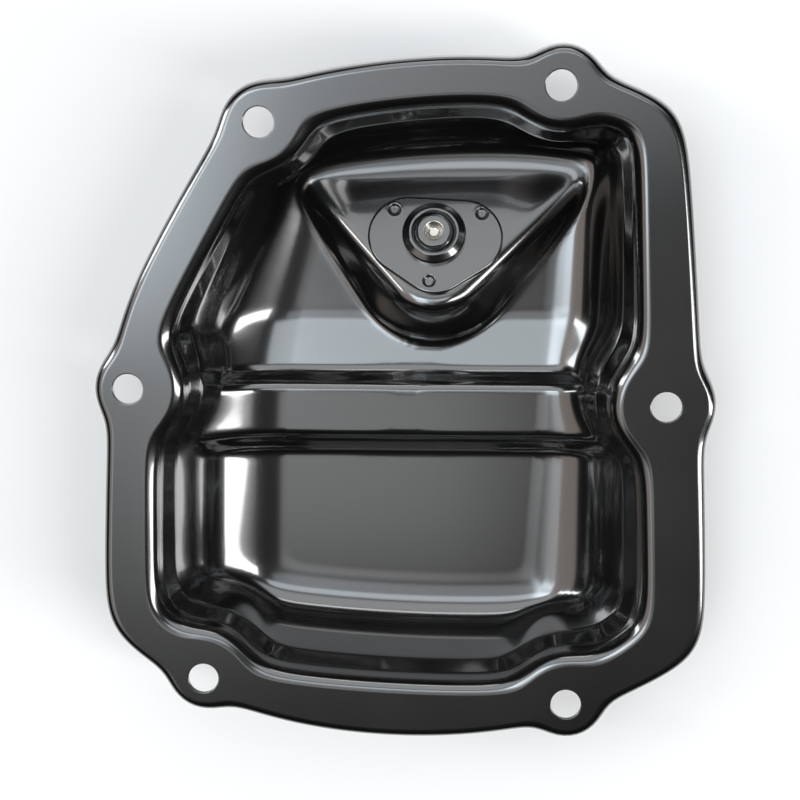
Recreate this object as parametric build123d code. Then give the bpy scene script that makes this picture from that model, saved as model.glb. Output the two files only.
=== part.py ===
from build123d import *
import math
import os

# Engine oil pan: one deep-drawn steel shell with a bolting flange, and the drain fittings in its floor.
# Millimetres. Every piece is drawn with the sealing face of the flange at z = 0 and the bowl below it,
# and at the end the whole part is lifted so that it stands on its floor.

# Sheet and drawing depths
SHEET = 1.4
BOWL_DEPTH = 45.0
LIP_HEIGHT = 5.0
LIP_BEND = 2.4
LIP_FLARE = 8.0
MOUTH_RADIUS = 4.0

# Shoulder: the step under the flange that leaves room for the bolt heads
SHOULDER_TOP = 7.0
SHOULDER_DROP = 6.0
SHOULDER_RUN = 3.5
SHOULDER_RADIUS = 3.0
UPPER_WALL_RUN = 0.6
WALL_DRAFT = 6.0

# A wall whose foot lies more than FREE_SPREAD in from the mouth leans further, by LEAN degrees a millimetre
FREE_SPREAD = 17.0
LEAN = 0.8
LEAST_FLOOR_RADIUS = 2.0

# Flange bolts: axis, how far the middle of the flange ear lies from it, the radius kept free round
# the bolt head, and how far that free space widens by the time it reaches the floor
BOLTS = {
    "top_left": ((-43.4, 80.5), (0.4, 0.0), 14.0, 9.5),
    "top_right": ((45.6, 91.4), (0.8, 1.0), 12.5, 9.5),
    "left": ((-83.9, 0.4), (0.9, 0.0), 16.5, 19.0),
    "right": ((78.1, -3.9), (3.6, 0.5), 16.5, 17.0),
    "bottom_left": ((-62.4, -90.0), (0.4, 0.8), 15.0, 9.5),
    "bottom_right": ((49.2, -96.8), (0.5, 0.0), 15.0, 9.5),
}
BOLT_HOLE = 9.2
EAR_RADIUS = 11.0

# Sides of the flange: direction that each side faces in degrees, its distance from the origin,
# and the radius of its bow (0 where the side is straight)
FLANGE_SIDES = [
    (177.7, 90.8, 0.0),
    (150.0, 88.0, 0.0),
    (98.3, 97.7, 265.0),
    (66.0, 112.8, 0.0),
    (3.4, 89.0, 2000.0),
    (-59.0, 119.0, 0.0),
    (-91.7, 108.6, 208.0),
    (233.0, 118.5, 0.0),
]
# Sides of the bowl mouth, and for each the direction and distance where the floor ends
MOUTH_SIDES = [
    (179.0, 75.4, 0.0, 179.0, 47.4),
    (150.8, 71.7, 0.0, 165.0, 46.8),
    (99.1, 82.6, 240.0, 99.1, 62.5),
    (70.7, 97.0, 0.0, 66.0, 78.5),
    (2.0, 69.9, 0.0, -3.8, 48.4),
    (-55.0, 100.5, 0.0, -52.0, 85.5),
    (-90.0, 92.0, 200.0, -90.0, 75.6),
    (233.0, 101.4, 0.0, 230.0, 79.5),
]
FLANGE_ROUNDING = 5.0
EAR_ROUNDING = 2.6
MOUTH_ROUNDING = 3.4
FLOOR_ROUNDING = 1.8

# Ridge across the floor between the two pockets
RIDGE_HEIGHT = 10.0
RIDGE_BACK = -20.5
RIDGE_FRONT = -3.8
RIDGE_BACK_RUN = 5.3
RIDGE_FRONT_RUN = 3.2
RIDGE_RADIUS = 3.5
RAMP_START = 17.0
RAMP_RISE = 3.3
RAMP_RADIUS = 30.0

# Drain platform: a wedge that climbs from the top wall and ends in a rounded nose
PLATFORM_SLOPE = 24.0
PLATFORM_START = 68.0
PLATFORM_RISE = 32.0
NOSE_CENTRE = (7.2, 33.8)
NOSE_RADIUS = 25.0
NOSE_WALL = 59.0
NOSE_LEFT = 212.0
NOSE_RIGHT = 323.0
PLATFORM_EDGE = 6.0

# Drain plate, threaded bung, plug and washer, all on one axis square to the platform
DRAIN_POINT = (7.5, 43.4)
PLATE_THICKNESS = 2.0
PLATE_LOBES = [((-8.0, 0.0), 12.7), ((9.0, -0.7), 12.4), ((0.4, -8.0), 11.0)]
PLATE_EDGE = 0.8
WELD_SPOTS = [(-12.5, 8.2), (14.8, 7.0), (-1.4, -15.0)]
WELD_RADIUS = 1.9
WELD_DEPTH = 0.8
BUNG_RADIUS = 9.9
BUNG_HEIGHT = 3.4
BUNG_CROWN = 1.8
BUNG_SINK = 1.0
BUNG_SPIGOT = 8.2
SPIGOT_CLEARANCE = 0.1
THREAD_RADIUS = 6.0
THREAD_CLEARANCE = 0.05
PLUG_PROUD = 0.8
PLUG_CHAMFER = 0.9
CENTRE_DRILL = 1.2
CENTRE_SINK = 2.9
CENTRE_DEPTH = 3.2
PLUG_FLANGE_RADIUS = 9.0
PLUG_FLANGE_HEIGHT = 1.6
HEX_WIDTH = 14.0
HEX_HEIGHT = 4.6
HEX_CHAMFER = 0.6
WASHER_RADIUS = 8.7
WASHER_CLEARANCE = 0.3
WASHER_THICKNESS = 1.5
WASHER_EDGE = 0.2

# Outlines are found on rays from the centre, each between the two reaches, by halving that span
RAYS = 96
CENTRE = (-2.0, -4.0)
NEAR_REACH = 20.0
FAR_REACH = 160.0
HALVINGS = 40

# Depths below the sealing face, and heights above the floor, at which the bowl's outline is drawn
WALL_DEPTHS = [0.3, 1.1, 2.4, 4.0, 5.6, 7.0, 8.4, 10.0, 11.6, 13.0, 15.0, 18.0, 22.0, 26.0, 30.0]
FLOOR_HEIGHTS = [12.0, 9.2, 6.8, 4.8, 3.1, 1.8, 0.9, 0.3, 0.06, 0.0]
ARC_STEPS = 24
BEND_STEPS = 3
TOUCH = 1e-6


def unit(degrees):
    return math.cos(math.radians(degrees)), math.sin(math.radians(degrees))


def soft_max(values, blend):
    """Largest value, with crossings rounded: blend times the log of the sum of exponentials."""
    top = max(values)
    return top + blend * math.log(sum(math.exp((v - top) / blend) for v in values))


def side_distance(x, y, angle, reach, bow):
    """Signed distance of a point from one side, positive outside."""
    nx, ny = unit(angle)
    if not bow:
        return nx * x + ny * y - reach
    return math.hypot(x - nx * (reach - bow), y - ny * (reach - bow)) - bow


def trace(field):
    """Closed outline where the field is zero: one point on each ray from the centre, by halving."""
    points = []
    for ray in range(RAYS):
        ux, uy = unit(360.0 * ray / RAYS)
        near, far = NEAR_REACH, FAR_REACH
        for _ in range(HALVINGS):
            middle = (near + far) / 2
            if field(CENTRE[0] + middle * ux, CENTRE[1] + middle * uy) < 0:
                near = middle
            else:
                far = middle
        points.append((CENTRE[0] + near * ux, CENTRE[1] + near * uy))
    return points


def section(points, z):
    """Smooth closed wire through the points at one height."""
    shared = [ray / RAYS for ray in range(RAYS + 1)]
    return Wire([Edge.make_spline([(x, y, z) for x, y in points], periodic=True, parameters=shared)])


def flange_outline(inset):
    """Outline of the flange with its bolt ears, moved inward by the inset."""
    def field(x, y):
        base = soft_max([side_distance(x, y, *side) for side in FLANGE_SIDES], FLANGE_ROUNDING)
        ears = [
            math.hypot(x - px - ex, y - py - ey) - EAR_RADIUS
            for (px, py), (ex, ey), _, _ in BOLTS.values()
        ]
        return inset - soft_max([-base] + [-ear for ear in ears], EAR_ROUNDING)
    return trace(field)


def shifted(corners, grow):
    """Corners of a path whose segments have all moved sideways by grow, to the right of travel."""
    lines = []
    for (ax, ay), (bx, by) in zip(corners, corners[1:]):
        length = math.hypot(bx - ax, by - ay)
        dx, dy = (bx - ax) / length, (by - ay) / length
        lines.append((ax + grow * dy, ay - grow * dx, dx, dy))
    moved = [lines[0][:2]]
    for (ax, ay, adx, ady), (bx, by, bdx, bdy) in zip(lines, lines[1:]):
        along = ((bx - ax) * bdy - (by - ay) * bdx) / (adx * bdy - ady * bdx)
        moved.append((ax + along * adx, ay + along * ady))
    last = lines[-1]
    end = math.dist(corners[-1], corners[-2])
    moved.append((last[0] + end * last[2], last[1] + end * last[3]))
    return moved


def rounded(corners, radii, grow=0.0):
    """Path through the corners with an arc at each, moved sideways by grow with its arcs concentric."""
    turned = []
    for (ax, ay), (bx, by), (cx, cy), radius in zip(corners, corners[1:], corners[2:], radii):
        left_turn = (bx - ax) * (cy - by) - (by - ay) * (cx - bx) > 0
        turned.append(radius + grow if left_turn else radius - grow)
    return FilletPolyline(*shifted(corners, grow), radius=turned)


def wall_profile(spread, grow=0.0):
    """Section of the bowl wall: x is the way in from the mouth line, y is the height."""
    low = SHOULDER_TOP + SHOULDER_DROP
    run = UPPER_WALL_RUN + SHOULDER_RUN
    draft = math.radians(WALL_DRAFT + LEAN * max(0.0, spread - FREE_SPREAD))
    fall = (BOWL_DEPTH - low) * math.tan(draft)
    foot = run + fall
    half_turn = (math.pi / 2 - draft) / 2
    floor_radius = max(LEAST_FLOOR_RADIUS, (spread - foot) / math.tan(half_turn))
    corners = [
        (-MOUTH_RADIUS * 2, 0.0),
        (0.0, 0.0),
        (UPPER_WALL_RUN, -SHOULDER_TOP),
        (run, -low),
        (foot, -BOWL_DEPTH),
        (foot + floor_radius * 2, -BOWL_DEPTH),
    ]
    radii = [MOUTH_RADIUS, SHOULDER_RADIUS, SHOULDER_RADIUS, floor_radius]
    return rounded(corners, radii, grow)


def inset_table(spread, grow, heights):
    """Way in from the mouth line at each height, read off the wall section."""
    path = wall_profile(spread, grow)
    samples = []
    for edge in path.edges():
        steps = 1 if edge.geom_type == GeomType.LINE else ARC_STEPS
        samples += [edge.position_at(i / steps) for i in range(steps + 1)]
    insets = []
    flat_start = path.edges()[0].position_at(1).X
    flat_end = path.edges()[-1].position_at(0).X
    for z in heights:
        if z >= -grow - TOUCH:
            insets.append(flat_start)
            continue
        if z <= -BOWL_DEPTH - grow + TOUCH:
            insets.append(flat_end)
            continue
        for a, b in zip(samples, samples[1:]):
            if a.Y >= z > b.Y:
                insets.append(a.X + (b.X - a.X) * (a.Y - z) / (a.Y - b.Y))
                break
    return insets


def bowl_sections(heights, grow):
    """Outline of the bowl wall at each height, with the space round each bolt kept free."""
    sides = [(side, inset_table(side[1] - side[4], grow, heights)) for side in MOUTH_SIDES]
    bolts = [(bolt, inset_table(bolt[3], grow, heights)) for bolt in BOLTS.values()]
    wires = []
    for level, z in enumerate(heights):
        depth = min(1.0, max(0.0, -z / BOWL_DEPTH))
        blend = MOUTH_ROUNDING + (FLOOR_ROUNDING - MOUTH_ROUNDING) * depth

        def field(x, y):
            values = []
            for (angle, reach, bow, floor_angle, floor_reach), insets in sides:
                inset = insets[level]
                share = min(1.0, max(0.0, inset / (reach - floor_reach)))
                turned = angle + (floor_angle - angle) * share
                values.append(side_distance(x, y, turned, reach - inset, bow and bow - inset))
            for ((px, py), _, free, _), insets in bolts:
                values.append(free + insets[level] - math.hypot(x - px, y - py))
            return soft_max(values, blend)

        wires.append(section(trace(field), z))
    return wires


def bowl_solid(grow):
    """Bowl without its ridge and platform: the space inside it, or its outside where grow is a sheet."""
    heights = [-grow] + [-grow - depth for depth in WALL_DEPTHS]
    heights += [-BOWL_DEPTH - grow + height for height in FLOOR_HEIGHTS]
    return Solid.make_loft(bowl_sections(heights, grow))


def flange_cap(inset):
    """Flange plate and turned-down lip as one solid block, its skin moved inward by the inset."""
    bend = LIP_BEND - inset
    flare = math.radians(LIP_FLARE)
    fall = LIP_HEIGHT - LIP_BEND * (1 - math.sin(flare))
    knee = fall * math.tan(flare)
    sections = [(-LIP_HEIGHT, inset / math.cos(flare))]
    for step in range(BEND_STEPS + 1):
        turn = flare + (math.pi / 2 - flare) * step / BEND_STEPS
        across = knee + LIP_BEND * math.cos(flare) - bend * math.cos(turn)
        sections.append((-LIP_BEND + bend * math.sin(turn), across))
    wires = [section(flange_outline(across), z) for z, across in sections]
    return Solid.make_loft(wires, ruled=True)


def ridge_solid(grow):
    """Everything under the ridge and the ramp in front of it, for cutting out of the bowl."""
    floor = -BOWL_DEPTH
    top = floor + RIDGE_HEIGHT
    far = 2 * BOWL_DEPTH
    corners = [
        (RIDGE_BACK - far, floor),
        (RIDGE_BACK - RIDGE_BACK_RUN, floor),
        (RIDGE_BACK, top),
        (RIDGE_FRONT, top),
        (RIDGE_FRONT + RIDGE_FRONT_RUN, floor + RAMP_RISE),
        (RAMP_START, floor),
        (RAMP_START + far, floor),
    ]
    radii = [RIDGE_RADIUS, RIDGE_RADIUS, RIDGE_RADIUS, RIDGE_RADIUS, RAMP_RADIUS]
    path = rounded(corners, radii, grow).edges()[1:-1]
    start = path[0].position_at(0)
    end = path[-1].position_at(1)
    base = floor - BOWL_DEPTH
    rim = Polyline((end.X, end.Y), (end.X, base), (start.X, base), (start.X, start.Y))
    face = make_face(list(path) + list(rim.edges()))
    upright = Plane(origin=(-3 * BOWL_DEPTH, 0, 0), x_dir=(0, 1, 0), z_dir=(1, 0, 0))
    return extrude(upright * face, 6 * BOWL_DEPTH)


def nose_outline(radius):
    """V of the drain platform in plan: two arms tangent to the round nose."""
    cx, cy = NOSE_CENTRE
    left = unit(NOSE_LEFT)
    right = unit(NOSE_RIGHT)
    reach = 2 * PLATFORM_START
    a = (cx + radius * left[0], cy + radius * left[1])
    b = (cx + radius * right[0], cy + radius * right[1])
    far_left = (a[0] + reach * left[1], a[1] - reach * left[0])
    far_right = (b[0] - reach * right[1], b[1] + reach * right[0])
    middle = unit((NOSE_LEFT + NOSE_RIGHT) / 2)
    tip = (cx + radius * middle[0], cy + radius * middle[1])
    edges = [Line(far_left, a), ThreePointArc(a, tip, b), Line(b, far_right), Line(far_right, far_left)]
    return make_face(edges)


def platform_plane(offset):
    """Plane of the drain platform, moved along its own normal by the offset; its x runs along +X."""
    slope = math.radians(PLATFORM_SLOPE)
    normal = Vector(0, math.sin(slope), math.cos(slope))
    down = Vector(0, PLATFORM_START - DRAIN_POINT[1], 0) * math.tan(slope)
    foot = Vector(DRAIN_POINT[0], DRAIN_POINT[1], -BOWL_DEPTH + down.Y)
    return Plane(origin=foot + normal * offset, x_dir=(1, 0, 0), z_dir=normal)


def platform_solid(grow):
    """Everything under the drain platform, for cutting out of the bowl."""
    wall = math.radians(NOSE_WALL)
    below = BOWL_DEPTH / 2
    radius = NOSE_RADIUS + below / math.tan(wall) - grow / math.sin(wall)
    foot = Pos(0, 0, -BOWL_DEPTH - below) * nose_outline(radius)
    wedge = extrude(foot, below + PLATFORM_RISE, taper=90 - NOSE_WALL)
    behind = Plane(origin=(0, PLATFORM_START + below, 0), z_dir=(0, 1, 0))
    wedge = split(wedge, bisect_by=behind, keep=Keep.BOTTOM)
    top = platform_plane(-grow)
    wedge = split(wedge, bisect_by=top, keep=Keep.BOTTOM)
    slope_face = [f for f in wedge.faces() if f.normal_at().dot(top.z_dir) > 0.9999][0]
    rim = [e for e in slope_face.edges() if e.center().Y < PLATFORM_START]
    return fillet(rim, PLATFORM_EDGE - grow)


def bolt_holes():
    """Six drillings through the flange."""
    return [
        Pos(px, py, -SHEET / 2) * Cylinder(BOLT_HOLE / 2, 4 * SHEET)
        for (px, py), _, _, _ in BOLTS.values()
    ]


def pan_shell():
    """Drawn shell: flange with lip, bowl, ridge and platform, all of one thickness."""
    flange = flange_cap(0.0) - flange_cap(SHEET)
    outside = bowl_solid(SHEET) - ridge_solid(SHEET) - platform_solid(SHEET)
    inside = bowl_solid(0.0) - ridge_solid(0.0) - platform_solid(0.0)
    drain = platform_plane(-SHEET / 2) * Cylinder(BUNG_SPIGOT + SPIGOT_CLEARANCE, 4 * SHEET)
    return flange + outside - inside - bolt_holes() - drain


def plate_outline():
    """Rounded three-lobed outline of the drain plate."""
    lobes = [Pos(x, y) * Circle(radius) for (x, y), radius in PLATE_LOBES]
    return make_hull([edge for lobe in lobes for edge in lobe.edges()])


def drain_plate():
    """Flat stiffening plate, spot-welded to the platform at three dimples, bored for the bung."""
    plate = extrude(plate_outline(), PLATE_THICKNESS)
    plate = fillet(plate.faces().sort_by(Axis.Z)[-1].edges(), PLATE_EDGE)
    plate -= Pos(0, 0, PLATE_THICKNESS / 2) * Cylinder(BUNG_SPIGOT + SPIGOT_CLEARANCE, 2 * PLATE_THICKNESS)
    bowl_radius = (WELD_RADIUS**2 + WELD_DEPTH**2) / (2 * WELD_DEPTH)
    for x, y in WELD_SPOTS:
        plate -= Pos(x, y, PLATE_THICKNESS - WELD_DEPTH + bowl_radius) * Sphere(bowl_radius)
    return platform_plane(0.0) * plate


def turned(points):
    """Solid of revolution about the drain axis from a closed section of radius and height."""
    face = make_face(Polyline(*points, close=True))
    return revolve(Plane.XZ * face, Axis.Z)


def drain_bung():
    """Weld nut: a crowned ring on the plate, with a spigot that fills the holes in plate and shell."""
    bore = THREAD_RADIUS + THREAD_CLEARANCE
    shoulder = PLATE_THICKNESS
    crest = shoulder + BUNG_HEIGHT
    ring = turned([
        (bore, -SHEET),
        (BUNG_SPIGOT, -SHEET),
        (BUNG_SPIGOT, shoulder),
        (BUNG_RADIUS, shoulder),
        (BUNG_RADIUS, crest),
        (bore, crest),
    ])
    outer_edge = ring.edges().filter_by(GeomType.CIRCLE).group_by(Axis.Z)[-1].sort_by(SortBy.RADIUS)[-1]
    ring = fillet(outer_edge, BUNG_CROWN)
    mouth = turned([
        (bore, crest - BUNG_SINK),
        (bore + BUNG_SINK, crest),
        (bore + BUNG_SINK, crest + BUNG_SINK),
        (0, crest + BUNG_SINK),
        (0, crest - BUNG_SINK),
    ])
    return platform_plane(0.0) * (ring - mouth)


def plug_washer():
    """Crush washer between the shell and the plug."""
    ring = Circle(WASHER_RADIUS) - Circle(THREAD_RADIUS + WASHER_CLEARANCE)
    washer = extrude(ring, WASHER_THICKNESS)
    return platform_plane(-SHEET - WASHER_THICKNESS) * chamfer(washer.edges(), WASHER_EDGE)


def drain_plug():
    """Flanged hexagon screw put in from below; its centre-drilled end shows inside the bung."""
    seat = -SHEET - WASHER_THICKNESS
    tip = PLATE_THICKNESS + BUNG_HEIGHT + PLUG_PROUD
    drill_top = tip - (CENTRE_SINK - CENTRE_DRILL)
    body = turned([
        (0, seat - PLUG_FLANGE_HEIGHT),
        (PLUG_FLANGE_RADIUS, seat - PLUG_FLANGE_HEIGHT),
        (PLUG_FLANGE_RADIUS, seat),
        (THREAD_RADIUS, seat),
        (THREAD_RADIUS, tip - PLUG_CHAMFER),
        (THREAD_RADIUS - PLUG_CHAMFER, tip),
        (CENTRE_SINK, tip),
        (CENTRE_DRILL, drill_top),
        (CENTRE_DRILL, tip - CENTRE_DEPTH),
        (0, tip - CENTRE_DEPTH),
    ])
    hexagon = extrude(RegularPolygon(HEX_WIDTH / 2, 6, major_radius=False), HEX_HEIGHT)
    bottom = seat - PLUG_FLANGE_HEIGHT - HEX_HEIGHT
    corner = HEX_WIDTH / math.sqrt(3)
    cap = turned([
        (0, bottom),
        (corner - HEX_CHAMFER, bottom),
        (corner, bottom + HEX_CHAMFER / 2),
        (corner, bottom + HEX_HEIGHT),
        (0, bottom + HEX_HEIGHT),
    ])
    head = (Pos(0, 0, bottom) * hexagon) & cap
    return platform_plane(0.0) * (body + head)


# The part stands on its floor: the origin is under the middle of its outline, in the rest plane
nodes = {
    "pan_shell": pan_shell(),
    "drain_plate": drain_plate(),
    "drain_bung": drain_bung(),
    "plug_washer": plug_washer(),
    "drain_plug": drain_plug(),
}
middle = nodes["pan_shell"].bounding_box().center()
stand = Pos(-middle.X, -middle.Y, BOWL_DEPTH + SHEET)

os.makedirs("parts", exist_ok=True)
for name, shape in nodes.items():
    export_step((stand * shape).solid(), f"parts/{name}.step")
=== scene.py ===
import math

import bpy
import numpy as np
from mathutils import Matrix, Vector


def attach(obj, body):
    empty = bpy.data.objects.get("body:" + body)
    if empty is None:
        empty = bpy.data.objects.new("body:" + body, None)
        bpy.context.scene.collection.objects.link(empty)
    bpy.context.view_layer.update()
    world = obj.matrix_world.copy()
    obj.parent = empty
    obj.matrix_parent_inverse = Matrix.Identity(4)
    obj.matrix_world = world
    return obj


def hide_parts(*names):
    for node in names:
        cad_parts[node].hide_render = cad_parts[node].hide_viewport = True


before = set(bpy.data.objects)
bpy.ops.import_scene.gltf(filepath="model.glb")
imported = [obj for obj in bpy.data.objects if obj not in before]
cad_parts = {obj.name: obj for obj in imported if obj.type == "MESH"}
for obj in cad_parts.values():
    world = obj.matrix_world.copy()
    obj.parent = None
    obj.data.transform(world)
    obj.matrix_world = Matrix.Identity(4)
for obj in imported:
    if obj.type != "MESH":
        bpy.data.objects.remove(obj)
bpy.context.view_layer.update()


# The pan itself is one sheet of 1.4 mm steel, deep drawn between dies, trimmed, pierced for its
# six bolts and given a turned-down lip. Sizes are millimetres with the sealing face at height 0,
# and STAND carries them to the frame, where the floor of the pan rests on the ground.
STAND = np.array([0.59, 2.49, 46.4])
SHEET = 1.4
BOWL_DEPTH = 45.0
LIP_HEIGHT, LIP_BEND, LIP_FLARE = 5.0, 2.4, math.radians(8.0)
MOUTH_RADIUS = 4.0
SHOULDER_TOP, SHOULDER_DROP, SHOULDER_RUN, SHOULDER_RADIUS = 7.0, 6.0, 3.5, 3.0
UPPER_WALL_RUN, WALL_DRAFT = 0.6, 6.0
# a wall whose foot lies more than FREE_SPREAD in from the mouth leans further, LEAN degrees a millimetre
FREE_SPREAD, LEAN, LEAST_FLOOR_RADIUS = 17.0, 0.8, 2.0
# the floor rises faintly towards its walls
DISH_SLOPE, DISH_REACH, DISH_RADIUS = math.radians(8.0), 5.0, 35.0

# each bolt: its axis, the middle of the flange ear round it, the space kept free for its head,
# and how far that space widens by the time it reaches the floor
BOLTS = [
    ((-43.4, 80.5), (-43.0, 80.5), 14.0, 6.0),
    ((45.6, 91.4), (46.4, 92.37), 12.5, 6.0),
    ((-83.9, 0.4), (-83.0, 0.4), 16.5, 19.0),
    ((78.1, -3.9), (81.7, -3.4), 16.5, 17.0),
    ((-62.4, -90.0), (-62.0, -89.2), 15.0, 6.0),
    ((49.2, -96.8), (49.7, -96.8), 15.0, 6.0),
]
BOLT_HOLE, EAR_RADIUS = 4.6, 11.0
# flange sides: direction faced, distance, and the radius of the bow or 0 where straight; mouth sides:
# the same, then direction and distance at the floor
FLANGE_SIDES = [
    (177.7, 90.8, 0), (150.0, 88.0, 0), (98.3, 98.7, 265), (66.0, 112.8, 0),
    (3.4, 89.0, 2000), (-59.0, 119.0, 0), (-91.7, 108.6, 208), (233.0, 118.5, 0),
]
MOUTH_SIDES = [
    (179.0, 75.4, 0, 179.0, 47.4), (150.8, 71.7, 0, 165.0, 46.8),
    (99.1, 83.7, 240, 99.1, 63.2), (70.7, 97.0, 0, 66.0, 78.5),
    (2.0, 69.9, 0, -3.8, 48.4), (-55.0, 100.5, 0, -52.0, 85.5),
    (-92.5, 90.2, 500, -92.0, 75.2), (233.0, 101.4, 0, 230.0, 84.0),
]
FLANGE_ROUNDING, EAR_ROUNDING, MOUTH_ROUNDING, FLOOR_ROUNDING = 5.0, 2.6, 3.4, 1.8
# every outline is traced on rays from CENTRE, and the floor's rows close on POLE
CENTRE = np.array([-2.0, -4.0])
POLE = np.array([-2.0, -12.0])
RAYS, NEAR_REACH, FAR_REACH, HALVINGS = 384, 20.0, 160.0, 36
ray = np.arange(RAYS) * 2 * np.pi / RAYS


def soft_max(values, blend):
    """Largest of the values, crossings rounded: blend times the log of the sum of exponentials."""
    top = np.max(values, axis=0)
    return top + blend * np.log(sum(np.exp((v - top) / blend) for v in values))


def side_distance(x, y, angle, reach, bow):
    """Distance outside a side: along its direction, or from the middle of its bow less the radius."""
    nx, ny = np.cos(np.radians(angle)), np.sin(np.radians(angle))
    if not np.any(bow):
        return nx * x + ny * y - reach
    return np.hypot(x - nx * (reach - bow), y - ny * (reach - bow)) - bow


def trace(field, rows):
    """Outlines where a field of x and y is zero: one point on each ray, found by halving a span."""
    near = np.full((rows, RAYS), NEAR_REACH)
    far = np.full((rows, RAYS), FAR_REACH)
    for _ in range(HALVINGS):
        middle = (near + far) / 2
        inside = field(CENTRE[0] + middle * np.cos(ray), CENTRE[1] + middle * np.sin(ray)) < 0
        near, far = np.where(inside, middle, near), np.where(inside, far, middle)
    return np.stack([CENTRE[0] + near * np.cos(ray), CENTRE[1] + near * np.sin(ray)], axis=-1)


def flange_rows(insets):
    """Outline of flange and ears moved inward: the nearer of the two shapes, blended where they meet."""
    insets = np.asarray(insets)[:, None]

    def field(x, y):
        base = soft_max([side_distance(x, y, *side) for side in FLANGE_SIDES], FLANGE_ROUNDING)
        ears = [np.hypot(x - ear[0], y - ear[1]) - EAR_RADIUS for _, ear, _, _ in BOLTS]
        return insets - soft_max([-base] + [-ear for ear in ears], EAR_ROUNDING)

    return trace(field, len(insets))


def profile(corners, radii, steps, support=0.0):
    """Path through the corners with an arc of each radius, as points; support adds one before and after."""
    corners = np.asarray(corners, float)
    points = [corners[0]]
    for before, here, after, radius in zip(corners, corners[1:], corners[2:], radii):
        a = (before - here) / np.linalg.norm(before - here)
        b = (after - here) / np.linalg.norm(after - here)
        half = math.acos(max(-1.0, min(1.0, a @ b))) / 2
        bisector = (a + b) / np.linalg.norm(a + b)
        middle = here + bisector * radius / math.sin(half)
        sweep = math.pi / 2 - half
        turn = np.linspace(-sweep, sweep, steps + 1)[:, None]
        side = np.array([-bisector[1], bisector[0]])
        side = side if side @ b > 0 else -side
        arc = middle + radius * (-bisector * np.cos(turn) + side * np.sin(turn))
        if support:
            points.append(arc[0] + a * support)
        points.extend(arc)
        if support:
            points.append(arc[-1] + b * support)
    points.append(corners[-1])
    return np.array(points)


def wall_inset(spread, heights, dished):
    """Way in from the mouth line at each height: down an upper wall, a shoulder, a wall and a fillet,
    then, where dished, down a faint slope that eases into the flat floor. A wall with little room
    stands steeper, down to upright."""
    low = SHOULDER_TOP + SHOULDER_DROP
    run = UPPER_WALL_RUN + SHOULDER_RUN
    draft = math.radians(WALL_DRAFT + max(0.0, LEAN * (spread - FREE_SPREAD)))
    slope = DISH_SLOPE if dished else 0.0
    end = spread + (DISH_REACH if dished else 0.0)
    fall = BOWL_DEPTH - low - end * math.tan(slope)
    draft = max(0.0, min(draft, math.atan((spread - LEAST_FLOOR_RADIUS - run) / fall)))
    foot = (run + fall * math.tan(draft)) / (1 - math.tan(slope) * math.tan(draft))
    tangent = math.tan((math.pi / 2 - draft - slope) / 2)
    floor_radius = max(LEAST_FLOOR_RADIUS, (spread - foot) / math.cos(slope) / tangent)
    corners = [
        (-2 * MOUTH_RADIUS, 0), (0, 0), (UPPER_WALL_RUN, -SHOULDER_TOP), (run, -low),
        (foot, -BOWL_DEPTH + (end - foot) * math.tan(slope)),
    ]
    radii = [MOUTH_RADIUS, SHOULDER_RADIUS, SHOULDER_RADIUS, floor_radius]
    if dished:
        corners.append((end, -BOWL_DEPTH))
        radii.append(DISH_RADIUS)
    corners.append((end + 2 * floor_radius + DISH_RADIUS, -BOWL_DEPTH))
    path = profile(corners, radii, steps=40)[1:-1]
    return np.interp(-heights, -path[:, 1], path[:, 0])


def bowl_rows(heights):
    """Outline of the bowl at each height: the nearest of its sides and bolt spaces, corners rounded."""
    side_insets = [wall_inset(side[1] - side[4], heights, True)[:, None] for side in MOUTH_SIDES]
    bolt_insets = [wall_inset(bolt[3], heights, False)[:, None] for bolt in BOLTS]
    depth = np.clip(-heights / BOWL_DEPTH, 0, 1)[:, None]
    blend = MOUTH_ROUNDING + (FLOOR_ROUNDING - MOUTH_ROUNDING) * depth

    def field(x, y):
        values = []
        for (angle, reach, bow, floor_angle, floor_reach), inset in zip(MOUTH_SIDES, side_insets):
            share = np.clip(inset / (reach - floor_reach), 0, 1)
            turned = angle + (floor_angle - angle) * share
            values.append(side_distance(x, y, turned, reach - inset, bow - inset if bow else 0))
        for ((px, py), _, free, _), inset in zip(BOLTS, bolt_insets):
            values.append(free + inset - np.hypot(x - px, y - py))
        return soft_max(values, blend)

    return trace(field, len(heights))


# ridge across the floor, as places along the pan and heights above the floor, and the drain wedge:
# a slope from the top wall to a rounded nose
RIDGE_HEIGHT, RIDGE_STEP = 10.0, 3.3
RIDGE = [
    (-110.0, 0.0), (-25.8, 0.0), (-20.5, RIDGE_HEIGHT), (-3.8, RIDGE_HEIGHT),
    (-0.6, RIDGE_STEP), (17.0, 0.0), (107.0, 0.0),
]
RIDGE_RADII = [4.5, 3.5, 3.5, 4.5, 30.0]
SLOPE, SLOPE_START = math.radians(24.0), 68.0
NOSE, NOSE_RADIUS, NOSE_WALL = np.array([7.2, 33.8]), 25.0, math.radians(59.0)
NOSE_LEFT, NOSE_RIGHT = math.radians(212.0), math.radians(323.0)
NOSE_EDGE, NOSE_FOOT, RIDGE_FADE = 3.2, 1.2, 25.0
ridge_path = profile(RIDGE, RIDGE_RADII, steps=16)


def slope_height(y):
    """Height of the wedge's flat top, falling evenly towards the top wall."""
    return -BOWL_DEPTH + (SLOPE_START - y) * math.tan(SLOPE)


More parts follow.
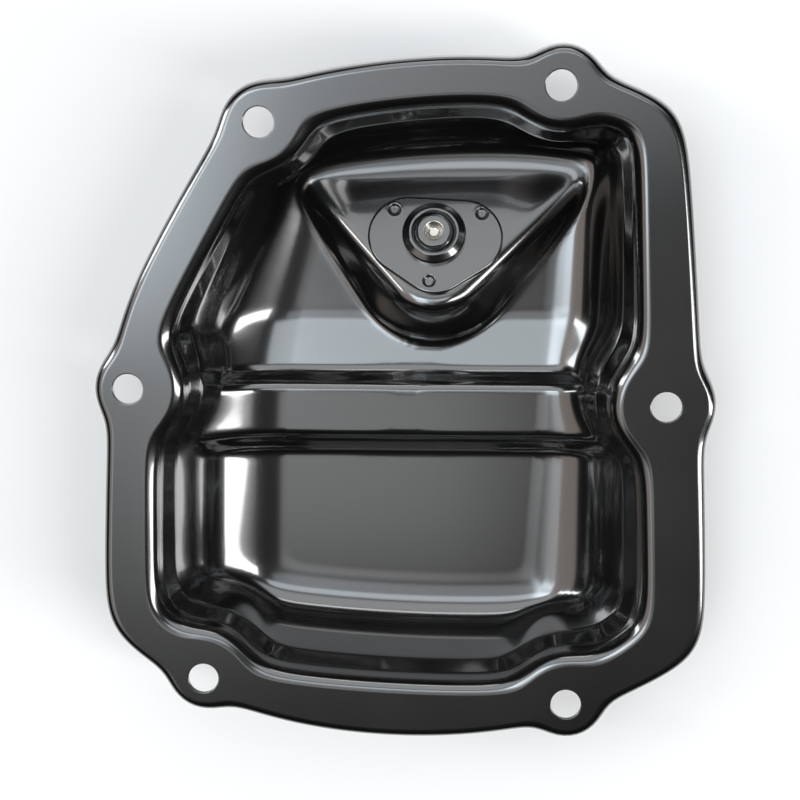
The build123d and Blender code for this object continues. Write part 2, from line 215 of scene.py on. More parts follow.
def wedge_height(x, y):
    """Lower of the flat top and the nose wall, which climbs with the way in from a rounded V."""
    dx, dy = x - NOSE[0], y - NOSE[1]
    left = dx * math.cos(NOSE_LEFT) + dy * math.sin(NOSE_LEFT)
    right = dx * math.cos(NOSE_RIGHT) + dy * math.sin(NOSE_RIGHT)
    direction = np.mod(np.arctan2(dy, dx), 2 * np.pi)
    in_nose = (direction > NOSE_LEFT) & (direction < NOSE_RIGHT)
    out = np.where(in_nose, np.hypot(dx, dy), np.maximum(left, right))
    wall = -BOWL_DEPTH + (NOSE_RADIUS - out) * math.tan(NOSE_WALL)
    return -soft_max([-wall, -slope_height(y)], NOSE_EDGE)


def floor_forms(x, y, height):
    """Height with the floor's forms: the ridge lifts floor and fillet, less and less up the wall, and
    the wedge stands on it, blended at its foot."""
    lift = np.interp(y, ridge_path[:, 0], ridge_path[:, 1])
    rise = np.clip((height + BOWL_DEPTH) / RIDGE_FADE, 0, 1)
    lifted = height + lift * (1 - rise)**2 * (1 + 2 * rise)
    return soft_max([lifted, wedge_height(x, y)], NOSE_FOOT)


# the skin's rows run from the lip's edge over the flange and down the wall to the floor's middle,
# close together round the mouth, the shoulder and the fillet and further apart between; SUPPORT is
# how far from its bends the flat flange has its first and its last row
SUPPORT = 0.35
fall = LIP_HEIGHT - LIP_BEND * (1 - math.sin(LIP_FLARE))
bend_turn = np.linspace(LIP_FLARE, math.pi / 2, 9)
lip_inset = fall * math.tan(LIP_FLARE) + LIP_BEND * (math.cos(LIP_FLARE) - np.cos(bend_turn))
lip_insets = np.concatenate([[0.0, 0.05], lip_inset, [lip_inset[-1] + SUPPORT]])
lip_heights = np.concatenate([[-LIP_HEIGHT, -LIP_HEIGHT + 0.4], -LIP_BEND * (1 - np.sin(bend_turn)), [0.0]])
mouth_turn = np.radians(np.arange(0.0, 78.0, 11.0))
SHOULDER_SPAN, SHOULDER_ROWS = (3.8, 15.5), 17
WALL_SPAN, WALL_ROWS = (17.0, 31.0), 9
FILLET_SPAN, FILLET_ROWS = 12.8, 15
wall_heights = np.concatenate([
    -MOUTH_RADIUS * (1 - np.cos(mouth_turn)),
    -np.linspace(*SHOULDER_SPAN, SHOULDER_ROWS),
    -np.linspace(*WALL_SPAN, WALL_ROWS),
    -BOWL_DEPTH + FILLET_SPAN * np.linspace(1, 0, FILLET_ROWS)**2,
])
FLAT_ROWS, FLOOR_ROWS, POLE_RADIUS = 6, 52, 0.6
CREASE_PASSES, CREASE_REACH, CREASE_SHARE = 10, 1.6, 0.6

lip = flange_rows(lip_insets)
wall = bowl_rows(wall_heights)
outward = wall[0] - CENTRE
outward = outward / np.linalg.norm(outward, axis=1)[:, None]
share = np.linspace(0, 1, FLAT_ROWS + 1)[1:, None, None]
flat = lip[-1] + (wall[0] + outward * SUPPORT - lip[-1]) * share
share = np.linspace(0, 1, FLOOR_ROWS + 1)[1:, None, None]
pole_ring = POLE + POLE_RADIUS * np.stack([np.cos(ray), np.sin(ray)], axis=-1)
floor = wall[-1] + (pole_ring - wall[-1]) * share
plan = np.concatenate([lip, flat, wall, floor])
height = np.concatenate([lip_heights, np.zeros(FLAT_ROWS), wall_heights, np.full(FLOOR_ROWS, -BOWL_DEPTH)])
height = np.broadcast_to(height[:, None], plan.shape[:2])
first_wall = len(lip) + FLAT_ROWS
deep = np.arange(len(plan)) > first_wall + len(mouth_turn)
top = np.where(deep[:, None], floor_forms(plan[..., 0], plan[..., 1], height), height)
forms = wedge_height(plan[..., 0], plan[..., 1])
skin = np.concatenate([plan, top[..., None]], axis=-1)

# the die rounds the creases where wall and wedge run into each other
near_crease = np.exp(-((height - forms) / CREASE_REACH)**2)[..., None] * deep[:, None, None]
near_crease[-2:] = 0
for _ in range(CREASE_PASSES):
    around = np.roll(skin, 1, 1) + np.roll(skin, -1, 1)
    around[1:-1] += skin[2:] + skin[:-2]
    around[[0, -1]] *= 2
    skin = skin + near_crease * CREASE_SHARE * (around / 4 - skin)


def skin_normals(grid):
    """Unit normals of a grid closed in its second direction, from differences across each point."""
    along = np.roll(grid, -1, 1) - np.roll(grid, 1, 1)
    across = np.gradient(grid, axis=0)
    n = np.cross(along, across)
    return n / np.linalg.norm(n, axis=2)[..., None]


def grid_faces(rows, columns):
    """Rows of four corners for a grid numbered row by row, each row closed to a ring."""
    i, k = np.meshgrid(np.arange(rows - 1), np.arange(columns), indexing="ij")
    after = (k + 1) % columns
    near, far = i * columns, (i + 1) * columns
    return np.stack([near + k, near + after, far + after, far + k], axis=-1)


def placed(points):
    """Drawing millimetres to metres in the frame."""
    return (np.asarray(points) + STAND) / 1000


def make_piece(name, points, faces, body, slot, *nodes):
    """Mesh of the points and faces, smooth, riding on its body in place of the CAD nodes."""
    mesh = bpy.data.meshes.new(name)
    mesh.from_pydata(placed(points).tolist(), [], [list(f) for f in faces])
    mesh.validate()
    mesh.shade_smooth()
    piece = bpy.data.objects.new(name, mesh)
    bpy.context.scene.collection.objects.link(piece)
    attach(piece, body)
    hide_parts(*nodes)
    return piece


normals = skin_normals(skin)
normals[len(lip) - 1:first_wall] = (0, 0, 1)
under = skin - SHEET * normals
rows = len(skin)
count = rows * RAYS
cells = grid_faces(rows, RAYS)
kept = np.ones(cells.shape[:2], bool)
shell_points = [skin.reshape(-1, 3), under.reshape(-1, 3)]
shell_faces = []


def next_number():
    """Number that the shell's next point will have: the count of those it has."""
    return sum(len(points) for points in shell_points)


def pierce(row0, row1, column0, column1, middle, u, v, radius, edge):
    """Round hole in a block of the grid: rings of quads from the block's rim to a circle on the
    plane of u and v, over a rounded edge, through the sheet and out to the underside's block."""
    span = np.arange(column0, column1 + 1)
    down = np.arange(row0 + 1, row1)
    rim_rows = np.concatenate([np.full(len(span), row0), down, np.full(len(span), row1), down[::-1]])
    rim_columns = np.concatenate([span, np.full(len(down), column1), span[::-1], np.full(len(down), column0)])
    rim = rim_rows * RAYS + rim_columns % RAYS
    kept[row0:row1, np.arange(column0, column1) % RAYS] = False
    up = np.cross(u, v)
    from_middle = shell_points[0][rim] - middle
    angle = np.arctan2(from_middle @ v, from_middle @ u)[:, None]
    spoke = np.cos(angle) * u + np.sin(angle) * v
    start, end = shell_points[0][rim], middle + (radius + edge + 0.15) * spoke
    arc = np.radians([0, 22.5, 45, 67.5, 90])
    rings = [start + (end - start) * t for t in (0.3, 0.6, 0.85, 1.0)]
    edges = [(middle + (radius + edge * (1 - math.sin(a))) * spoke, edge * (1 - math.cos(a))) for a in arc]
    rings += [ring - up * drop for ring, drop in edges]
    rings += [ring - up * (SHEET - drop) for ring, drop in edges[::-1]]
    rings += [end - up * SHEET] + [start + (end - start) * t - up * SHEET for t in (0.6, 0.3)]
    m = len(rim)
    new = next_number() + np.arange(len(rings) * m)
    numbers = np.concatenate([rim, new, rim + count]).reshape(-1, m)
    near, far = numbers[:-1], numbers[1:]
    quads = np.stack([near, np.roll(near, -1, 1), np.roll(far, -1, 1), far], axis=-1)
    shell_faces.append(quads.reshape(-1, 4))
    shell_points.append(np.concatenate(rings))


X, Y, Z = np.eye(3)
HOLE_BLOCK, HOLE_EDGE = 8.5, 0.25
for (px, py), _, _, _ in BOLTS:
    away = np.hypot(px - CENTRE[0], py - CENTRE[1])
    turn = math.atan2(py - CENTRE[1], px - CENTRE[0])
    half = math.asin(HOLE_BLOCK / away)
    first = int(math.floor((turn - half) / (2 * np.pi) * RAYS))
    last = int(math.ceil((turn + half) / (2 * np.pi) * RAYS))
    pierce(len(lip) - 1, first_wall - 1, first, last, np.array([px, py, 0.0]), X, Y, BOLT_HOLE, HOLE_EDGE)

# drain hole, square to the wedge's flat top
DRAIN_ACROSS, DRAIN_ALONG = 7.5, 43.4
DRAIN = np.array([DRAIN_ACROSS, DRAIN_ALONG, slope_height(DRAIN_ALONG)])
DOWN_SLOPE = np.array([0, math.cos(SLOPE), -math.sin(SLOPE)])
DRAIN_UP = np.array([0, math.sin(SLOPE), math.cos(SLOPE)])
DRAIN_HOLE, DRAIN_BLOCK, DRAIN_EDGE = 8.3, 9.9, 0.2
near_drain = np.hypot(skin[..., 0] - DRAIN[0], skin[..., 1] - DRAIN[1]) < DRAIN_BLOCK
near_drain[:first_wall] = False
block_rows = np.nonzero(near_drain.any(axis=1))[0]
block_columns = np.nonzero(near_drain.any(axis=0))[0]
pierce(
    block_rows[0] - 1, block_rows[-1] + 1, block_columns[0] - 1, block_columns[-1] + 1,
    DRAIN, X, DOWN_SLOPE, DRAIN_HOLE, DRAIN_EDGE,
)

top_cells = cells[kept]
shell_faces += [top_cells, (top_cells + count)[:, ::-1]]
# sheared edge of the lip, slightly rounded, from the outer skin round to the inner one
SHEAR_ROUNDING = 0.3
share = np.array([0.1, 0.3, 0.5, 0.7, 0.9])[:, None, None]
bulge = SHEAR_ROUNDING * np.sqrt(1 - (2 * share - 1)**2)
shear = skin[0] + (under[0] - skin[0]) * share - Z * bulge
new = next_number() + np.arange(len(share) * RAYS)
numbers = np.concatenate([np.arange(RAYS), new, count + np.arange(RAYS)]).reshape(-1, RAYS)
shell_points.append(shear.reshape(-1, 3))
near, far = numbers[:-1], numbers[1:]
quads = np.stack([near, far, np.roll(far, -1, 1), np.roll(near, -1, 1)], axis=-1)
shell_faces.append(quads.reshape(-1, 4))
# the two middles of the floor
last = (rows - 1) * RAYS + np.arange(RAYS)
pole = np.full(RAYS, next_number())
shell_points.append(np.array([skin[-1].mean(axis=0), under[-1].mean(axis=0)]))
faces = np.concatenate(shell_faces).tolist()
faces += np.stack([last, np.roll(last, -1), pole], axis=-1).tolist()
faces += np.stack([np.roll(last, -1) + count, last + count, pole + 1], axis=-1).tolist()
shell = make_piece("drawn_shell", np.concatenate(shell_points), faces, "pan", "shell_paint", "pan_shell")


def coating_group():
    """Group for the black coating: fine grain and a faint cloudiness from noise at three scales.
    It puts out a shade from 0 to 1, a roughness and a height."""
    group = bpy.data.node_groups.new("black_coating", "ShaderNodeTree")
    for name, value in (("Fine", 2600.0), ("Peel", 420.0), ("Roughness", 0.2), ("Spread", 0.06)):
        group.interface.new_socket(name, in_out="INPUT", socket_type="NodeSocketFloat").default_value = value
    for name in ("Shade", "Roughness", "Height"):
        group.interface.new_socket(name, in_out="OUTPUT", socket_type="NodeSocketFloat")
    node, link = group.nodes.new, group.links.new
    given, out = node("NodeGroupInput"), node("NodeGroupOutput")
    place = node("ShaderNodeTexCoord")

    def feed(socket, value):
        """Gives the socket a number, one of the group's inputs by its name, or a node's output."""
        if isinstance(value, float):
            socket.default_value = value
        else:
            link(given.outputs[value] if isinstance(value, str) else value, socket)

    def noise(scale, detail):
        n = node("ShaderNodeTexNoise")
        n.inputs["Detail"].default_value = detail
        link(place.outputs["Object"], n.inputs["Vector"])
        feed(n.inputs["Scale"], scale)
        return n.outputs["Fac"]

    def sum_of(a, b, factor):
        """The first value times the factor, plus the second."""
        m = node("ShaderNodeMath")
        m.operation = "MULTIPLY_ADD"
        for socket, value in zip(m.inputs, (a, factor, b)):
            feed(socket, value)
        return m.outputs[0]

    fine, peel, cloud = noise("Fine", 3.0), noise("Peel", 2.0), noise(22.0, 3.0)
    link(sum_of(fine, cloud, 0.35), out.inputs["Shade"])
    rough = sum_of(fine, "Roughness", "Spread")
    link(sum_of(cloud, rough, "Spread"), out.inputs["Roughness"])
    link(sum_of(peel, fine, 2.5), out.inputs["Height"])
    return group


BUMP_DEPTH = 0.00001
UNDERCOAT_IOR, UNDERCOAT_LEVEL, SKIN_IOR, SKIN_ROUGHNESS = 1.5, 0.9, 1.6, 0.06


def coated(name, dark, light, roughness, spread, bump, fine, peel):
    """Principled material of black-coated steel: a clear skin over a satin base, whose colour,
    roughness and bump come from the group."""
    material = bpy.data.materials.new(name)
    material.use_nodes = True
    tree = material.node_tree
    shader = tree.nodes["Principled BSDF"]
    coating = tree.nodes.new("ShaderNodeGroup")
    coating.node_tree = black_coating
    for socket, value in (("Fine", fine), ("Peel", peel), ("Roughness", roughness), ("Spread", spread)):
        coating.inputs[socket].default_value = value
    ramp = tree.nodes.new("ShaderNodeValToRGB")
    ramp.color_ramp.elements[0].position = 0.45
    ramp.color_ramp.elements[0].color = (*dark, 1)
    ramp.color_ramp.elements[1].position = 0.9
    ramp.color_ramp.elements[1].color = (*light, 1)
    height = tree.nodes.new("ShaderNodeBump")
    height.inputs["Strength"].default_value = bump
    height.inputs["Distance"].default_value = BUMP_DEPTH
    link = tree.links.new
    link(coating.outputs["Shade"], ramp.inputs["Fac"])
    link(ramp.outputs["Color"], shader.inputs["Base Color"])
    link(coating.outputs["Roughness"], shader.inputs["Roughness"])
    link(coating.outputs["Height"], height.inputs["Height"])
    link(height.outputs["Normal"], shader.inputs["Normal"])
    shader.inputs["IOR"].default_value = UNDERCOAT_IOR
    shader.inputs["Specular IOR Level"].default_value = UNDERCOAT_LEVEL
    shader.inputs["Coat Weight"].default_value = 1.0
    shader.inputs["Coat Roughness"].default_value = SKIN_ROUGHNESS
    shader.inputs["Coat IOR"].default_value = SKIN_IOR
    return material


black_coating = coating_group()
shell.data.materials.append(coated(
    "pan_black_coating", dark=(0.002, 0.002, 0.002), light=(0.005, 0.005, 0.0052),
    roughness=0.13, spread=0.06, bump=0.3, fine=2600.0, peel=420.0,
))


# The drain plate is a small flat steel plate with a rounded three-lobed outline. It stiffens the
# thin sheet round the drain and is held by three spot welds, which show as round dimples.
PLATE = 2.0
LOBES = np.array([[-8.0, 0.0], [9.0, -0.7], [0.4, -8.0]])
LOBE_RADII = np.array([12.7, 12.4, 11.0])
WELDS = np.array([[-12.5, 8.2], [14.8, 7.0], [-1.4, -15.0]])
PLATE_EDGE, WELD_RADIUS, WELD_DEPTH, WELD_RIM = 0.8, 1.9, 0.8, 0.07
HOLE_BREAK = 0.15
COLUMNS = 360
about = np.arange(COLUMNS) * 2 * np.pi / COLUMNS
ways = np.stack([np.cos(about), np.sin(about)], axis=-1)


def plate_loop(inset):
    """Edge of a tight band round the lobes: in each direction the point of the furthest circle."""
    furthest = np.argmax(ways @ LOBES.T + LOBE_RADII, axis=1)
    return LOBES[furthest] + (LOBE_RADII[furthest] - inset)[:, None] * ways


def on_drain(x, y, z):
    """Points given along the slope, across it and square to it, carried to the drain's place."""
    return DRAIN + x[..., None] * X + y[..., None] * DOWN_SLOPE + z[..., None] * DRAIN_UP


def plate_top(x, y):
    """Flat, less a cup at each weld whose floor is level and whose rim stands up slightly."""
    top = np.full(x.shape, PLATE)
    for wx, wy in WELDS:
        r = np.hypot(x - wx, y - wy) / WELD_RADIUS
        cup = 1 / (1 + np.exp((r - 0.86) * 16))
        rim = np.exp(-((r - 1.18) / 0.16)**2)
        top += -WELD_DEPTH * cup + WELD_RIM * rim
    return top


edge_turn = np.linspace(0, np.pi / 2, 7)
plate_insets = np.concatenate([[0.0, 0.0], PLATE_EDGE * (1 - np.cos(edge_turn)), [PLATE_EDGE + 0.2]])
plate_heights = np.concatenate([[0.0, 0.3], PLATE - PLATE_EDGE * (1 - np.sin(edge_turn)), [PLATE]])
loops = np.stack([plate_loop(inset) for inset in plate_insets])
inner = (DRAIN_HOLE + HOLE_BREAK) * ways
share = np.linspace(0, 1, 45)[1:, None, None]
field_rows = loops[-1] + (inner - loops[-1]) * share
plate_plan = np.concatenate([loops, field_rows, DRAIN_HOLE * ways[None], DRAIN_HOLE * ways[None]])
plate_z = np.concatenate([
    np.broadcast_to(plate_heights[:, None], loops.shape[:2]),
    plate_top(field_rows[..., 0], field_rows[..., 1]),
    np.full((1, COLUMNS), PLATE - HOLE_BREAK), np.zeros((1, COLUMNS)),
])
plate_points = on_drain(plate_plan[..., 0], plate_plan[..., 1], plate_z)


def ring_faces(rows, columns):
    """Faces of a grid closed in both directions: its last row joins its first again."""
    first = np.arange(columns)
    last = (rows - 1) * columns + first
    closing = np.stack([last, np.roll(last, -1), np.roll(first, -1), first], axis=-1)
    return np.concatenate([grid_faces(rows, columns).reshape(-1, 4), closing])


plate_faces = ring_faces(len(plate_points), COLUMNS)
plate_points = plate_points.reshape(-1, 3)
plate = make_piece("spot_welded_plate", plate_points, plate_faces, "pan", "plate_paint", "drain_plate")
plate.data.set_sharp_from_angle(angle=math.radians(50))
plate.data.materials.append(coated(
    "plate_black_coating", dark=(0.0025, 0.0025, 0.0026), light=(0.006, 0.006, 0.0063),
    roughness=0.18, spread=0.06, bump=0.2, fine=3200.0, peel=520.0,
))


# The drain bung is a turned steel ring, welded into the plate and shell, with a crowned shoulder
# and an M12 thread. The thread is a helix, so the plug's own follows it as it unscrews.
PITCH, CREST, ROOT = 1.25, 6.0, 5.3
# how far the bore's thread stands outside that form, and the crests of the plug's inside it
BORE_GAP, PLUG_GAP = 0.13, 0.05
BUNG_TOP, BUNG_BOTTOM = 5.4, -SHEET
BUNG_NECK, BUNG_COLLAR, BUNG_CROWN, BUNG_MOUTH = 8.2, 9.9, 7.7, 6.15


def thread_wave(angle, z):
    """Ridge from 0 to 1 that climbs one pitch in a turn, flat at its crest and its root."""
    phase = np.mod(z / PITCH - angle / (2 * np.pi), 1.0)
    return np.clip(0.5 + (np.abs(phase - 0.5) - 0.25) * 3.0, 0, 1)


def turned(sections, columns):
    """Grid of points from rows of radius and height, each a number or an array over the turn."""
    angle = np.arange(columns) * 2 * np.pi / columns
    radius = np.stack([np.broadcast_to(r, columns) for r, _ in sections])
    z = np.stack([np.broadcast_to(h, columns) for _, h in sections])
    return on_drain(radius * np.cos(angle), radius * np.sin(angle), z)


TURN = 144
angle = np.arange(TURN) * 2 * np.pi / TURN
ring_path = profile(
    [
        (BUNG_NECK, BUNG_BOTTOM), (BUNG_NECK, PLATE), (BUNG_COLLAR, PLATE), (BUNG_COLLAR, 3.6),
        (BUNG_COLLAR - 0.4, 4.15), (BUNG_CROWN, BUNG_TOP), (7.0, BUNG_TOP), (BUNG_MOUTH, 4.55),
    ],
    [0.05, 0.05, 0.35, 0.3, 0.45, 0.2], steps=5, support=0.08,
)
bore = [
    (ROOT + BORE_GAP + (CREST - ROOT) * thread_wave(angle, z), z)
    for z in np.linspace(4.35, BUNG_BOTTOM + 0.3, 60)
]
bung_rows = [tuple(p) for p in ring_path] + bore + [(6.4, BUNG_BOTTOM)]
bung_points = turned(bung_rows, TURN).reshape(-1, 3)
bung_faces = ring_faces(len(bung_rows), TURN)
bung = make_piece("welded_bung", bung_points, bung_faces, "pan", "bung_paint", "drain_bung")
bung.data.set_sharp_from_angle(angle=math.radians(40))
bung.data.materials.append(coated(
    "bung_black_coating", dark=(0.003, 0.003, 0.0031), light=(0.007, 0.007, 0.0074),
    roughness=0.13, spread=0.06, bump=0.15, fine=3200.0, peel=700.0,
))


# The crush washer is a flat ring stamped from soft aluminium. It is squeezed between the plug's
# flange and the sheet, and seals the drain.
WASHER_OUTER, WASHER_INNER, WASHER = 8.7, 6.3, 1.5
WASHER_ROUNDING = 0.35
SEAT = -SHEET - WASHER
# the path starts and ends on the ring's upper face
washer_path = profile(
    [
        (7.5, -SHEET), (WASHER_OUTER, -SHEET), (WASHER_OUTER, SEAT),
        (WASHER_INNER, SEAT), (WASHER_INNER, -SHEET), (7.4, -SHEET),
    ],
    [WASHER_ROUNDING] * 4, steps=5, support=0.08,
)
washer_points = turned([tuple(p) for p in washer_path], TURN).reshape(-1, 3)
washer_faces = ring_faces(len(washer_path), TURN)[:, ::-1]
washer = make_piece("crush_washer", washer_points, washer_faces, "washer", "washer_metal", "plug_washer")


def turned_metal(name, colour, roughness, marks):
    """Bare metal with fine lathe rings: a wave of the distance from the drain's axis, and noise."""
    material = bpy.data.materials.new(name)
    material.use_nodes = True
    tree = material.node_tree
    node, link = tree.nodes.new, tree.links.new
    shader = tree.nodes["Principled BSDF"]
    place = node("ShaderNodeTexCoord")
    centre = node("ShaderNodeMapping")
    centre.vector_type = "TEXTURE"
    centre.inputs["Location"].default_value = placed(DRAIN).tolist()
    centre.inputs["Rotation"].default_value = (-SLOPE, 0, 0)
    rings = node("ShaderNodeTexWave")
    rings.wave_type, rings.rings_direction = "RINGS", "Z"
    rings.inputs["Scale"].default_value = 700.0
    rings.inputs["Distortion"].default_value = 0.6
    rings.inputs["Detail"].default_value = 2.0
    speck = node("ShaderNodeTexNoise")
    speck.inputs["Scale"].default_value = 900.0
    ramp = node("ShaderNodeValToRGB")
    ramp.color_ramp.elements[0].color = (*[c * 0.8 for c in colour], 1)
    ramp.color_ramp.elements[1].color = (*colour, 1)
    rough = node("ShaderNodeMapRange")
    rough.inputs["To Min"].default_value = roughness
    rough.inputs["To Max"].default_value = roughness + 0.15
    bump = node("ShaderNodeBump")
    bump.inputs["Strength"].default_value = marks
    bump.inputs["Distance"].default_value = 0.00003
    link(place.outputs["Object"], centre.inputs["Vector"])
    link(centre.outputs["Vector"], rings.inputs["Vector"])
    link(place.outputs["Object"], speck.inputs["Vector"])
    link(speck.outputs["Fac"], ramp.inputs["Fac"])
    link(speck.outputs["Fac"], rough.inputs["Value"])
    link(rings.outputs["Fac"], bump.inputs["Height"])
    link(ramp.outputs["Color"], shader.inputs["Base Color"])
    link(rough.outputs["Result"], shader.inputs["Roughness"])
    link(bump.outputs["Normal"], shader.inputs["Normal"])
    shader.inputs["Metallic"].default_value = 1.0
    return material


washer.data.materials.append(
    turned_metal("soft_aluminium", colour=(0.62, 0.62, 0.61), roughness=0.3, marks=0.3))


# The drain plug is a flanged hexagon screw, turned and then blackened. Its thread fills the bung,
# and its centre-drilled end stands a little above the ring, where the photo shows it.
TIP = 6.2
FLANGE_RADIUS, FLANGE_THICK = 9.0, 1.6
HEX_HALF, HEX_HEIGHT, HEX_CHAMFER, HEX_CORNER = 7.0, 4.6, 0.6, 0.145
THREAD_STOP, RUN_OUT = 0.5, 1.2
HEAD_COLUMNS = 240
angle = np.arange(HEAD_COLUMNS) * 2 * np.pi / HEAD_COLUMNS
sixth = np.pi / 3
hexagon = HEX_HALF / np.cos(np.mod(angle + sixth / 2, sixth) - sixth / 2)
hexagon = np.minimum(hexagon, HEX_HALF * (1 + HEX_CORNER))
hex_end = SEAT - FLANGE_THICK
head_end = hex_end - HEX_HEIGHT
bevel = head_end + HEX_CHAMFER * np.clip((hexagon - HEX_HALF) / (HEX_CORNER * HEX_HALF), 0, 1)
shank_heights = np.linspace(SEAT + 0.9, TIP - 0.55, 80)
# the thread stops short of the tip, and dies away over its last RUN_OUT
run_out = np.minimum(1.0, (TIP - THREAD_STOP - shank_heights) / RUN_OUT)
shank = [
    (ROOT + (CREST - PLUG_GAP - ROOT) * thread_wave(angle, z) * share, z)
    for z, share in zip(shank_heights, run_out)
]
# the shallow dish in the head's end, then the hexagon, its rims rounded
head = [
    (0.0, head_end + 0.5), (4.2, head_end + 0.5), (4.6, head_end + 0.1), (4.9, head_end),
    (HEX_HALF - 0.5, head_end), (HEX_HALF * 0.985, head_end + 0.02), (hexagon - 0.12, bevel),
    (hexagon, bevel + 0.1), (hexagon, hex_end - 0.3), (hexagon + 0.1, hex_end - 0.02),
]
# the flange up to its seat against the washer, and the neck where the thread begins
flange = [
    (FLANGE_RADIUS - 0.35, hex_end + 0.25), (FLANGE_RADIUS - 0.05, hex_end + 0.5),
    (FLANGE_RADIUS, hex_end + 0.75), (FLANGE_RADIUS, SEAT - 0.25), (FLANGE_RADIUS - 0.1, SEAT - 0.06),
    (FLANGE_RADIUS - 0.3, SEAT), (6.4, SEAT), (5.9, SEAT + 0.1), (5.6, SEAT + 0.5),
]
tip = [(5.25, TIP - 0.4), (5.05, TIP - 0.1), (4.95, TIP - 0.02), (4.8, TIP)]
drilling = [
    (3.15, TIP), (3.0, TIP - 0.04), (2.85, TIP - 0.2), (1.9, TIP - 1.25), (1.75, TIP - 1.4),
    (1.65, TIP - 1.9), (1.5, TIP - 2.05), (1.1, TIP - 2.1), (0.0, TIP - 2.1),
]
plug_rows = head + flange + shank + tip + drilling
plug_points = turned(plug_rows, HEAD_COLUMNS).reshape(-1, 3)
plug_faces = grid_faces(len(plug_rows), HEAD_COLUMNS).reshape(-1, 4)
plug = make_piece("drain_screw", plug_points, plug_faces, "plug", "plug_metal", "drain_plug")
plug.data.set_sharp_from_angle(angle=math.radians(38))
# the centre drill cut through the blackening, so its cone shows bare steel
bare = np.arange(len(plug.data.polygons)) >= (len(plug_rows) - len(drilling)) * HEAD_COLUMNS
plug.data.materials.append(coated(
    "blackened_steel", dark=(0.005, 0.005, 0.0052), light=(0.012, 0.012, 0.0125),
    roughness=0.15, spread=0.08, bump=0.2, fine=3200.0, peel=700.0,
))
plug.data.materials.append(
    turned_metal("drilled_steel", colour=(0.55, 0.52, 0.48), roughness=0.2, marks=0.2))
plug.data.polygons.foreach_set("material_index", bare.astype(np.int32))


# Studio: a pale floor under the pan, a strip lamp on either side, soft panels of light overhead in
# dim surroundings, and the camera looking almost straight down as in the photo.
FLOOR_REACH, PAPER_GREY, PAPER_GLOW = 6.0, 0.66, 0.2
ground = bpy.data.meshes.new("studio_floor")
corners = [(x * FLOOR_REACH, y * FLOOR_REACH, 0) for x, y in ((-1, -1), (1, -1), (1, 1), (-1, 1))]
ground.from_pydata(corners, [], [(0, 1, 2, 3)])
studio_floor = bpy.data.objects.new("studio_floor", ground)
bpy.context.scene.collection.objects.link(studio_floor)
paper = bpy.data.materials.new("white_paper")
paper.use_nodes = True
nodes, link = paper.node_tree.nodes, paper.node_tree.links.new
surface, shown = nodes["Principled BSDF"], nodes["Material Output"]
surface.inputs["Base Color"].default_value = (PAPER_GREY, PAPER_GREY, PAPER_GREY, 1)
surface.inputs["Roughness"].default_value = 0.9
surface.inputs["Specular IOR Level"].default_value = 0.1
glow, both = nodes.new("ShaderNodeEmission"), nodes.new("ShaderNodeAddShader")
seen = nodes.new("ShaderNodeLightPath")
glow.inputs["Color"].default_value = (1, 1, 1, 1)
any_seen, more, scaled = (nodes.new("ShaderNodeMath") for _ in range(3))
any_seen.operation = more.operation = "MAXIMUM"
scaled.operation = "MULTIPLY"
scaled.inputs[1].default_value = PAPER_GLOW
link(seen.outputs["Is Camera Ray"], any_seen.inputs[0])
link(seen.outputs["Is Glossy Ray"], any_seen.inputs[1])
link(any_seen.outputs[0], more.inputs[0])
link(seen.outputs["Is Transmission Ray"], more.inputs[1])
link(more.outputs[0], scaled.inputs[0])
link(scaled.outputs[0], glow.inputs["Strength"])
link(surface.outputs[0], both.inputs[0])
link(glow.outputs[0], both.inputs[1])
link(both.outputs[0], shown.inputs["Surface"])
ground.materials.append(paper)


def strip_lamp(name, direction, distance, width, length, brightness, colour):
    """Flat lamp facing the pan. Its power is the brightness seen in it times its area and pi."""
    data = bpy.data.lights.new(name, "AREA")
    data.shape = "RECTANGLE"
    data.size, data.size_y = width, length
    data.energy = brightness * width * length * math.pi
    data.color = colour
    lamp = bpy.data.objects.new(name, data)
    away = Vector(direction).normalized()
    lamp.location = away * distance
    lamp.rotation_mode = "QUATERNION"
    lamp.rotation_quaternion = away.to_track_quat("Z", "Y")
    bpy.context.scene.collection.objects.link(lamp)


strip_lamp(
    "lamp_right", direction=(0.95, -0.25, 1.0), distance=2.0, width=0.40, length=1.9,
    brightness=12.0, colour=(1.0, 1.0, 1.0),
)
strip_lamp(
    "lamp_left", direction=(-1.24, 0.4, 1.0), distance=2.0, width=0.26, length=1.3,
    brightness=10.0, colour=(0.94, 0.98, 1.0),
)

# soft panels of light on the studio's ceiling: middle, half size and blurred edge, all as tangents
# of the angle from straight up, then brightness and colour
PANELS = [
    ((-0.27, 0.08), (0.12, 0.20), 0.07, 5.2, (0.80, 0.91, 1.0)),
    ((-0.33, -0.20), (0.07, 0.16), 0.06, 1.6, (0.90, 0.96, 1.0)),
    ((-0.05, 0.01), (0.14, 0.06), 0.05, 1.2, (0.90, 0.95, 1.0)),
    ((-0.085, -0.20), (0.075, 0.05), 0.06, 1.1, (0.94, 0.98, 1.0)),
    ((-0.12, -0.13), (0.12, 0.11), 0.12, 0.32, (1.0, 0.94, 0.88)),
    ((-0.10, -0.22), (0.30, 0.10), 0.16, 0.06, (1.0, 0.97, 0.94)),
    ((-0.07, 0.20), (0.28, 0.08), 0.06, 3.6, (0.87, 0.95, 1.0)),
    ((0.0, 0.90), (0.6, 0.45), 0.2, 2.0, (0.93, 0.97, 1.0)),
    ((0.1, 1.75), (0.45, 0.20), 0.1, 5.0, (1.0, 1.0, 1.0)),
    ((-0.80, -0.05), (0.40, 0.5), 0.2, 1.2, (1.0, 0.88, 0.80)),
]
SURROUNDINGS, HORIZON = 0.006, 0.02
world = bpy.data.worlds.new("studio_ceiling")
bpy.context.scene.world = world
world.use_nodes = True
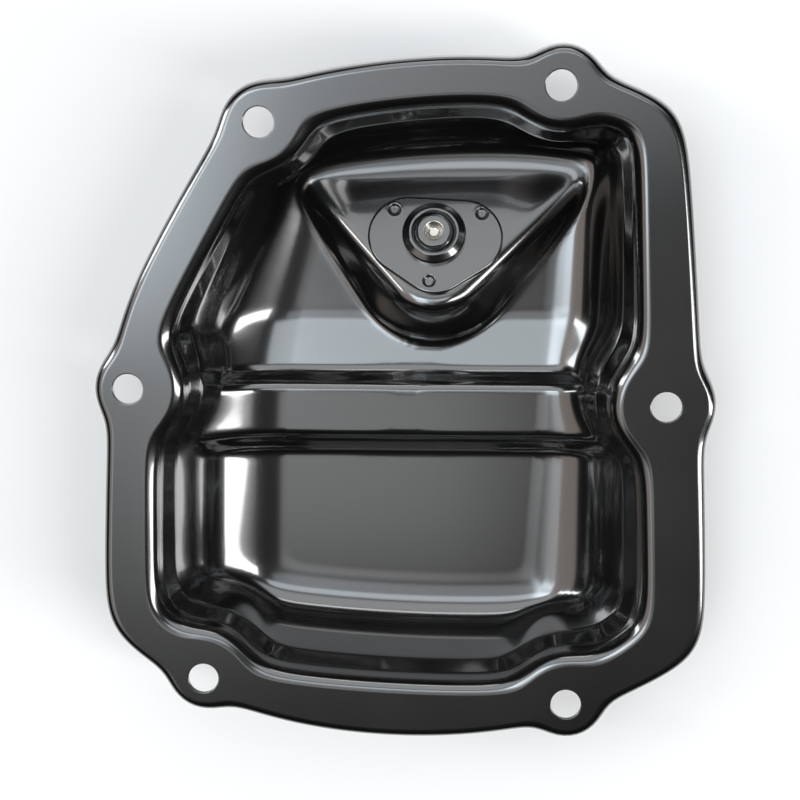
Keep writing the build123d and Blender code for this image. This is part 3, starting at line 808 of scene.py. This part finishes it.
nodes, link = world.node_tree.nodes, world.node_tree.links.new


def math_node(operation, a, b):
    """Math node on two sockets or numbers."""
    made = nodes.new("ShaderNodeMath")
    made.operation = operation
    for socket, value in zip(made.inputs, (a, b)):
        if isinstance(value, (int, float)):
            socket.default_value = value
        else:
            link(value, socket)
    return made.outputs[0]


def soft_span(along, middle, half, blur):
    """1 within half of the middle, falling smoothly to 0 over the blur."""
    off = math_node("ABSOLUTE", math_node("SUBTRACT", along, middle), 0)
    made = nodes.new("ShaderNodeMapRange")
    made.interpolation_type = "SMOOTHSTEP"
    made.inputs["From Min"].default_value = half - blur / 2
    made.inputs["From Max"].default_value = half + blur
    made.inputs["To Min"].default_value, made.inputs["To Max"].default_value = 1.0, 0.0
    link(off, made.inputs["Value"])
    return made.outputs["Result"]


place, parts = nodes.new("ShaderNodeTexCoord"), nodes.new("ShaderNodeSeparateXYZ")
link(place.outputs["Generated"], parts.inputs[0])
up = math_node("MAXIMUM", parts.outputs["Z"], HORIZON)
u, v = math_node("DIVIDE", parts.outputs["X"], up), math_node("DIVIDE", parts.outputs["Y"], up)
dim = nodes.new("ShaderNodeRGB")
dim.outputs[0].default_value = (*[SURROUNDINGS] * 3, 1)
light = dim.outputs[0]
for (pu, pv), (half_u, half_v), blur, brightness, colour in PANELS:
    mask = math_node("MULTIPLY", soft_span(u, pu, half_u, blur), soft_span(v, pv, half_v, blur))
    panel = nodes.new("ShaderNodeVectorMath")
    panel.operation = "MULTIPLY_ADD"
    panel.inputs[1].default_value = [c * brightness for c in colour]
    link(mask, panel.inputs[0])
    link(light, panel.inputs[2])
    light = panel.outputs[0]
link(light, nodes["Background"].inputs["Color"])

lens = bpy.data.cameras.new("camera")
lens.sensor_width = 36.0
lens.lens = 97.5
lens.shift_x, lens.shift_y = -0.006875, -0.009375
lens.clip_start, lens.clip_end = 0.05, 50.0
camera = bpy.data.objects.new("camera", lens)
bpy.context.scene.collection.objects.link(camera)
CAMERA_PLACE = np.array([28.353, 112.871, 639.497])
camera.location = placed(CAMERA_PLACE).tolist()
backward = CAMERA_PLACE / np.linalg.norm(CAMERA_PLACE)
rightward = np.cross(Y, backward)
rightward /= np.linalg.norm(rightward)
upward = np.cross(backward, rightward)
camera.rotation_mode = "QUATERNION"
camera.rotation_quaternion = Matrix(np.stack([rightward, upward, backward], axis=1).tolist()).to_quaternion()
bpy.context.scene.camera = camera
bpy.context.scene.view_settings.view_transform = "Standard"
